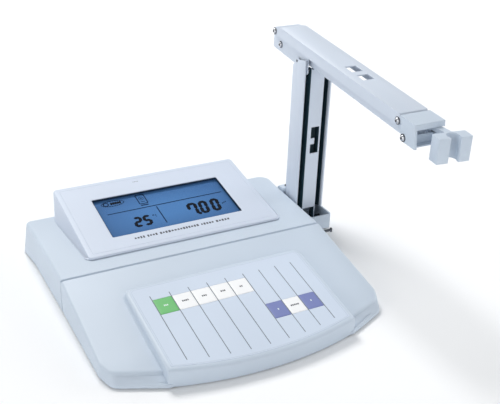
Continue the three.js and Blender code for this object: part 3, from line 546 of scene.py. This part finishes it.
def digit(char, u, v, width, height, stroke):
    parts = []
    gap = -SEGMENT_OVERLAP * stroke
    for name in DIGITS[char]:
        (x0, y0), (x1, y1) = SEGMENTS[name]
        p0 = Vector((u + x0 * width + SLANT * y0 * height, v + y0 * height))
        p1 = Vector((u + x1 * width + SLANT * y1 * height, v + y1 * height))
        d = (p1 - p0).normalized() * gap
        parts.append(strip([tuple(p0 + d), tuple(p1 - d)], stroke, on_bezel, LCD_N))
    return joined(*parts)


def disc(u, v, r, place, n, height=0.12, count=16):
    angles = [2 * math.pi * i / count for i in range(count)]
    outline = [(u + r * cos(a), v + r * sin(a)) for a in angles]
    verts = [place(*p, n) for p in outline] + [place(*p, n + height) for p in outline]
    faces = [tuple(range(count))[::-1], tuple(range(count, 2 * count))]
    faces += [(i, (i + 1) % count, count + (i + 1) % count, count + i) for i in range(count)]
    return verts, faces


def bar_mark(u0, v0, u1, v1, place, n, height=0.05):
    verts = [place(*p, n + h) for h in (0.0, height) for p in ((u0, v0), (u1, v0), (u1, v1), (u0, v1))]
    faces = [(3, 2, 1, 0), (4, 5, 6, 7), (0, 1, 5, 4), (1, 2, 6, 5), (2, 3, 7, 6), (3, 0, 4, 7)]
    return verts, faces


def frame_box(u0, v0, u1, v1, width, place, n):
    return joined(strip([(u0, v0), (u1, v0)], width, place, n), strip([(u1, v0), (u1, v1)], width, place, n),
                  strip([(u1, v1), (u0, v1)], width, place, n), strip([(u0, v1), (u0, v0)], width, place, n))


segments = [
    digit("7", 20.6, 39.3, 7.8, 18.1, BIG_STROKE), digit("0", 34.0, 39.3, 6.5, 18.1, BIG_STROKE),
    digit("0", 47.7, 39.3, 6.5, 18.1, BIG_STROKE), disc(30.3, 39.2, 2.0, on_bezel, LCD_N),
    digit("2", -41.2, 38.6, 5.9, 13.8, SMALL_STROKE), digit("5", -30.9, 38.6, 5.9, 13.8, SMALL_STROKE),
]
flag = [
    strip([(-53.4 + 2.4 * i, 82.0), (-52.7 + 2.4 * i, 87.0)], 2.3, on_bezel, LCD_N, 0.1)
    for i in range(5)
]
LCD_BLACK = plastic("lcd_black", (0.004, 0.006, 0.012), rough=0.6, grain=0.00001, spec=0.08)
finish_object("display_digits", mesh_from(*joined(*segments, *flag), "display_digits"), LCD_BLACK,
                               "meter")
LCD_INK = plastic("lcd_ink", (0.010, 0.035, 0.09), rough=0.6, grain=0.00001, spec=0.1)


def oval(u, v, half_u, half_v, width, count=28):
    points = [(u + half_u * cos(2 * math.pi * i / count), v + half_v * sin(2 * math.pi * i / count))
              for i in range(count + 1)]
    return strip(points, width, on_bezel, LCD_N, 0.08)


marks = [
    strip([(-63.5, 67.0), (68.5, 68.3)], 1.3, on_bezel, LCD_N, 0.08),
    strip([(-9.5, 65.4), (-9.5, 35.0)], 1.2, on_bezel, LCD_N, 0.08),
    oval(-51.6, 84.5, 12.6, 4.6, 1.3), oval(-59.0, 84.5, 2.6, 2.8, 1.2),
    frame_box(-24.4, 74.5, -15.2, 90.8, 1.2, on_bezel, LCD_N),
    oval(-19.8, 84.0, 2.4, 2.8, 0.8), strip([(-19.8, 82.6), (-19.8, 85.2)], 1.5, on_bezel, LCD_N, 0.08),
    strip([(-22.2, 78.0), (-17.4, 78.0)], 0.9, on_bezel, LCD_N, 0.08),
    strip([(-24.6, 71.8), (-15.2, 71.8)], 1.7, on_bezel, LCD_N, 0.08),
    oval(-18.4, 51.6, 0.9, 0.9, 0.6),
    strip([(-15.2, 52.6), (-16.4, 50.2), (-15.6, 48.2)], 0.8, on_bezel, LCD_N, 0.08),
]
unit = []
for i in range(3):
    tick = [(60.4 + 2.1 * i, 47.0 + 0.9 * i), (60.8 + 2.1 * i, 49.6 + 0.9 * i)]
    unit.append(strip(tick, 1.4, on_bezel, LCD_N, 0.1))
finish_object("display_marks", mesh_from(*joined(*marks, *unit), "display_marks"), LCD_INK, "meter")

for node, material in (("lcd_panel", LCD), ("display_window", LENS), ("lcd_backlight", WHITE_DIFFUSER),
                       ("main_board", BOARD), ("keypad_board", BOARD), ("bottom_shell", BODY),
                       ("column_spring", STEEL), ("arm_spring", STEEL)):
    frame["nodes"][node].data.materials.clear()
    frame["nodes"][node].data.materials.append(material)

# printed strip under the window and the small mark above it, both plain dashes
dashes = []
DASH_V, DASH_GAP, GROUP_GAP = 15.9, 1.07, 1.9
u = -52.6
for group in (4, 4, 14, 5, 5):
    for _ in range(group):
        length = random.uniform(1.7, 2.4)
        height = random.choice((2.3, 2.8, 3.3))
        dashes.append(bar_mark(u, DASH_V - height / 2, u + length, DASH_V + height / 2, on_bezel, 0.0))
        u += length + DASH_GAP
    u += GROUP_GAP
finish_object("bezel_print", mesh_from(*joined(*dashes), "bezel_print"), PRINT, "meter")
small = [bar_mark(-19.4 + 1.7 * i, 110.0, -18.4 + 1.7 * i, 111.0, on_bezel, 0.0) for i in range(4)]
finish_object("bezel_mark", mesh_from(*joined(*small), "bezel_mark"), LINE, "meter")


# ---------------------------------------------------------------- keypad
def line_x(i):
    return -73.3 + (KEY_PITCH * i if i < 6 else 95 + 17.4 * (i - 5))


REAR_ROW, FRONT_ROW = -17, -57.7
KEY_HALF_DEPTH = 10.2
KEYS = [
    (0, REAR_ROW, KEY_GREEN, "key_green"),
    (1, REAR_ROW, KEY_WHITE, "key_white"),
    (2, REAR_ROW, KEY_WHITE, "key_white"),
    (3, REAR_ROW, KEY_WHITE, "key_white"),
    (4, REAR_ROW, KEY_WHITE, "key_white"),
    (5, FRONT_ROW, KEY_BLUE, "key_blue"),
    (6, FRONT_ROW, KEY_WHITE, "key_white"),
    (7, FRONT_ROW, KEY_BLUE, "key_blue"),
]


def front_v(x, back):
    y = TONGUE_FRONT_Y + back + TONGUE_R - math.sqrt(TONGUE_R ** 2 - x * x)
    return (y - KEY_ORIGIN[1]) / cos(KEY_TILT)


def overlay_outline(inset, count=28):
    half = 88.6 - inset
    across = [-half + 2 * half * i / count for i in range(count + 1)]
    arc = [(x, front_v(x, 4.4 + inset)) for x in across]
    top = (-41.0 - KEY_ORIGIN[1]) / cos(KEY_TILT) - inset
    corner = rounded([(half, arc[-1][1]), (half, top), (-half, top), (-half, arc[0][1])],
                     [None, max(5.5 - inset, 1), max(5.5 - inset, 1), None], 7)[1:-1]
    return arc + corner


def key_outline(i, v, grow):
    x0, x1 = line_x(i) + 0.4 - grow, line_x(i + 1) - 0.4 + grow
    v0 = v - KEY_HALF_DEPTH - grow
    v1 = v + KEY_HALF_DEPTH + grow
    return rounded([(x0, v0), (x1, v0), (x1, v1), (x0, v1)], 0.8, 4)


def sheet_with_holes(outline, holes, place, n0, n1):
    """A thin plate with real openings; the bevel that rounds its edges is added where it is used."""
    bm = bmesh.new()
    loops = []
    for ring in [outline] + holes:
        verts = [bm.verts.new(place(u, v, n1)) for u, v in ring]
        edges = [bm.edges.new((verts[i], verts[(i + 1) % len(verts)])) for i in range(len(verts))]
        loops.append((verts, edges))
    edges = [edge for _, ring_edges in loops for edge in ring_edges]
    bmesh.ops.triangle_fill(bm, use_beauty=True, use_dissolve=False, edges=edges)
    extruded = bmesh.ops.extrude_face_region(bm, geom=list(bm.faces))
    moved = [g for g in extruded["geom"] if isinstance(g, bmesh.types.BMVert)]
    delta = place(0, 0, n0) - place(0, 0, n1)
    for vert in moved:
        vert.co += delta
    bmesh.ops.recalc_face_normals(bm, faces=bm.faces)
    mesh = bpy.data.meshes.new("sheet")
    bm.to_mesh(mesh)
    bm.free()
    return mesh


SHEET_TOP = 0.25
key_holes = [key_outline(i, v, 0.25)[::-1] for i, v, _, _ in KEYS]
overlay = finish_object(
    "keypad_membrane",
    sheet_with_holes(overlay_outline(0), key_holes, on_keypad, -0.4, SHEET_TOP),
    MEMBRANE, "meter", ["keypad_overlay"])
edge = overlay.modifiers.new("edges", "BEVEL")
edge.limit_method = "ANGLE"
edge.angle_limit = rad(40)
edge.width = 0.00018
edge.segments = 2

# how far each ring of a key cap is grown sideways, and its height over the keypad plane
CAP_SECTION = [
    (-1.6, -3.0),
    (-1.6, -0.5),
    (0.0, -0.35),
    (0.0, 0.2),
    (-0.25, 0.36),
    (-1.2, 0.45),
    (-4.0, 0.5),
]
for number, (i, v, material, slot) in enumerate(KEYS, 1):
    body = f"key_{number}"
    cap = loft([[on_keypad(u, w, n) for u, w in key_outline(i, v, grow)] for grow, n in CAP_SECTION])
    finish_object(body + "_cap", mesh_from(*cap, body + "_cap"), material, body, [body])

# the long printed lines, which run down the gaps between the keys
lines = []
for i in range(9):
    x = line_x(i)
    v0, v1 = -0.6, front_v(x, 10.6)
    lines.append(strip([(x, v0), (x, v1)], 0.75, on_keypad, SHEET_TOP, 0.05))
# Painted shade: a thin darker line 1.3 mm inside the membrane's edge, for the shadow along that edge.
edge_shade_ring = overlay_outline(1.3)
edge_shade_strip = strip(edge_shade_ring + edge_shade_ring[:1], 0.4, on_keypad, SHEET_TOP, 0.03)
finish_object("keypad_border", mesh_from(*edge_shade_strip, "keypad_border"), EDGE_SHADE_LINE, "meter")
finish_object("keypad_lines", mesh_from(*joined(*lines), "keypad_lines"), LINE, "meter")


BAR_GAP = 0.45


def legend(number, i, v, ink, pattern):
    """A generic legend of short bars."""
    parts = []
    middle = (line_x(i) + line_x(i + 1)) / 2
    total = sum(pattern) + BAR_GAP * (len(pattern) - 1)
    u = middle - total / 2
    for length in pattern:
        parts.append(bar_mark(u, v - 0.95, u + length, v + 0.95, on_keypad, 0.5, 0.04))
        u += length + BAR_GAP
    finish_object(f"key_{number}_legend", mesh_from(*joined(*parts), f"legend_{number}"), ink,
                  f"key_{number}")


PALE = plastic("print_pale", (0.75, 0.85, 0.80), rough=0.6, grain=0.00001)
legend(1, 0, REAR_ROW, PALE, (1.1, 0.9, 1.1))
legend(2, 1, REAR_ROW, PRINT, (1.4, 1.1, 1.4, 1.1))
legend(3, 2, REAR_ROW, PRINT, (1.2, 1.5, 1.1))
legend(4, 3, REAR_ROW, PRINT, (1.6, 1.1, 1.3))
legend(5, 4, REAR_ROW, PRINT, (1.4, 1.1))
legend(6, 5, FRONT_ROW, PALE, (1.2,))
legend(7, 6, FRONT_ROW, PRINT, (1.4, 1.2, 1.5, 1.2, 1.4))
legend(8, 7, FRONT_ROW, PALE, (1.2,))

# ---------------------------------------------------------------- arm and its base
refine("arm_base", BODY, 0.6, 3)
column = refine("column_channel", COAT, 0.35, 2)
# Painted shade: the column channel's inner faces, from SHADE_FROM_Y back to its web, get the dark colour for
# the shadow between the channel's walls and the bar.
column.data.materials.append(PAINTED_SHADE_INSIDE)
ARM_X, INNER_HALF, REAR_INNER_Y, SHADE_FROM_Y = 160.9, 15.7, 76.2, 57.0
cutter = bmesh.new()
cutter.from_mesh(column.data)
geometry = cutter.verts[:] + cutter.edges[:] + cutter.faces[:]
bmesh.ops.bisect_plane(cutter, geom=geometry, plane_co=mm(0, SHADE_FROM_Y, 0), plane_no=(0, 1, 0))
cutter.to_mesh(column.data)
cutter.free()
for polygon in column.data.polygons:
    place = (polygon.center - mm(ARM_X, 0, 0)) * 1000
    if abs(place.x) < INNER_HALF and SHADE_FROM_Y < place.y < REAR_INNER_Y and place.z > 20:
        polygon.material_index = 1
column_bar = refine("column_bar", COAT, 0.35, 2)
# Painted shade: the bar's side faces, which face the shadowed grooves, get the same dark colour.
column_bar.data.materials.append(PAINTED_SHADE_INSIDE)
for polygon in column_bar.data.polygons:
    if abs(polygon.normal.x) > 0.9:
        polygon.material_index = 1
refine("elbow_bracket", COAT, 0.35, 2)
refine("arm_channel", COAT, 0.45, 3)
refine("arm_bar", COAT, 0.35, 2)
refine("end_bracket", BODY, 0.4, 3)
refine("electrode_clip", BODY, 0.5, 3)
refine("base_lock_screw", DARK_STEEL, 0.3, 3)
refine("arm_base_screw", BLACK, 0.3, 2)
refine("bnc_socket", STEEL, 0.25, 2)
refine("temp_socket", BLACK, 0.3, 2)
refine("reference_socket", BRASS, 0.25, 2)
refine("power_socket", BLACK, 0.3, 2)
for i in range(1, 5):
    refine(f"foot_{i}", RUBBER, 0.3, 2)
    refine(f"shell_screw_{i}", STEEL, 0.2, 2)
HIDDEN_PINS = [
    "column_foot_pin",
    "bar_foot_pin",
    "column_top_pin_left",
    "column_top_pin_right",
    "bar_top_pin",
    "clip_pin",
]
for node in HIDDEN_PINS:
    refine(node, DARK_STEEL, 0.2, 2)
for node in ("arm_rear_pin", "bar_rear_pin", "arm_front_pin", "bar_front_pin"):
    refine(node, STEEL, 0.2, 2)


def ring_about_x(x, y, z, radii, offsets, side, count=24):
    """A turned ring on an X axis: radii and offsets (mm) of its section, on one side of the arm."""
    rings = []
    angles = [2 * math.pi * i / count for i in range(count)]
    for r, offset in zip(radii, offsets):
        rings.append([mm(x + side * offset, y + r * cos(a), z + r * sin(a)) for a in angles])
    if side > 0:
        rings = [ring[::-1] for ring in rings]
    return loft(rings, False, False, True)


# Painted shade for the dark ring and dot on each pin head.
RIVET_PAINTED_SHADE = plastic("rivet_painted_shade", (0.03, 0.032, 0.038), rough=0.4, grain=0.00003)


def pin_shade_marks(name, body, y, z, half):
    """Painted shade: a dark ring at the foot of each domed head, standing for the shadowed gap around it,
    and a dark dot in its middle, standing for the shade inside a hollow rivet.
    """
    parts = []
    for side in (-1, 1):
        x = ARM_X + side * half
        parts.append(ring_about_x(x, y, z, (3.2, 3.75, 3.75, 3.2), (0.31, 0.31, 0.05, 0.05), side))
        parts.append(ring_about_x(x, y, z, (0.02, 1.15, 1.25, 0.02), (2.36, 2.3, 2.0, 2.0), side))
    finish_object(name, mesh_from(*joined(*parts), name), RIVET_PAINTED_SHADE, body)


pin_shade_marks("arm_rear_pin_seat", "elbow", 122, 209.5, 15.6)
pin_shade_marks("bar_rear_pin_seat", "elbow", 110.9, 197.3, 13.8)
pin_shade_marks("arm_front_pin_seat", "head", -106.014, 190.553, 15.6)
pin_shade_marks("bar_front_pin_seat", "head", -117.114, 178.353, 16.4)

# ---------------------------------------------------------------- floor, light, camera
bpy.ops.mesh.primitive_plane_add(size=6, location=(0, 0, 0))
floor = bpy.context.object
floor.name = "studio_floor"
mat, tree, shader = new_material("floor_white")
grain = noise(tree, 3.0)
tint = ramp(tree, grain.outputs["Fac"], [(0.3, (0.955, 0.955, 0.96)), (0.7, (0.975, 0.975, 0.975))])
tree.links.new(tint.outputs["Color"], shader.inputs["Base Color"])
shader.inputs["Roughness"].default_value = 0.9
shader.inputs["Specular IOR Level"].default_value = 0.1
floor.data.materials.append(mat)

world = bpy.data.worlds.new("studio")
bpy.context.scene.world = world
world.use_nodes = True
sky = world.node_tree
sky_coord = sky.nodes.new("ShaderNodeTexCoord")
sky_split = sky.nodes.new("ShaderNodeSeparateXYZ")
sky.links.new(sky_coord.outputs["Generated"], sky_split.inputs["Vector"])
SKY_STOPS = [
    (0.0, (0.88, 0.90, 0.92)),
    (0.5, (0.54, 0.555, 0.57)),
    (1.0, (0.22, 0.23, 0.24)),
]
sky_tint = ramp(sky, sky_split.outputs["Z"], SKY_STOPS)
sky.links.new(sky_tint.outputs["Color"], sky.nodes["Background"].inputs["Color"])


LIGHT_TARGET = Vector((0, 0, 0.05))


def area(name, place, size, power):
    data = bpy.data.lights.new(name, "AREA")
    data.shape = "RECTANGLE"
    data.size, data.size_y = size
    data.energy = power
    obj = bpy.data.objects.new(name, data)
    obj.location = place
    obj.rotation_mode = "QUATERNION"
    obj.rotation_quaternion = (LIGHT_TARGET - Vector(place)).to_track_quat("-Z", "Y")
    bpy.context.scene.collection.objects.link(obj)


area("back_light", (-0.1, 1.5, 2.3), (1.0, 1.0), 44)
area("left_light", (-2.7, -0.8, 1.0), (1.6, 1.4), 17)
area("front_light", (0.6, -2.8, 0.8), (1.6, 1.2), 9)
area("right_light", (2.6, 0.1, 1.3), (1.4, 1.2), 15)

yaw, pitch, roll = rad(28.448), rad(27.316), rad(2.260)
forward = Vector((sin(yaw) * cos(pitch), cos(yaw) * cos(pitch), -sin(pitch)))
right = Vector((cos(yaw), -sin(yaw), 0))
up = right.cross(forward)
right_rolled = right * cos(roll) + up * sin(roll)
up_rolled = up * cos(roll) - right * sin(roll)
camera_data = bpy.data.cameras.new("photo_camera")
camera_data.sensor_width = 36.0
camera_data.lens = 62.88
camera_data.clip_start, camera_data.clip_end = 0.05, 50
camera = bpy.data.objects.new("photo_camera", camera_data)
bpy.context.scene.collection.objects.link(camera)
camera.matrix_world = Matrix((
    (right_rolled.x, up_rolled.x, -forward.x, 0), (right_rolled.y, up_rolled.y, -forward.y, 0),
    (right_rolled.z, up_rolled.z, -forward.z, 0), (0, 0, 0, 1),
))
camera.location = mm(-313.5, -683.2, 478.2)
bpy.context.scene.camera = camera
bpy.context.scene.view_settings.view_transform = "Standard"
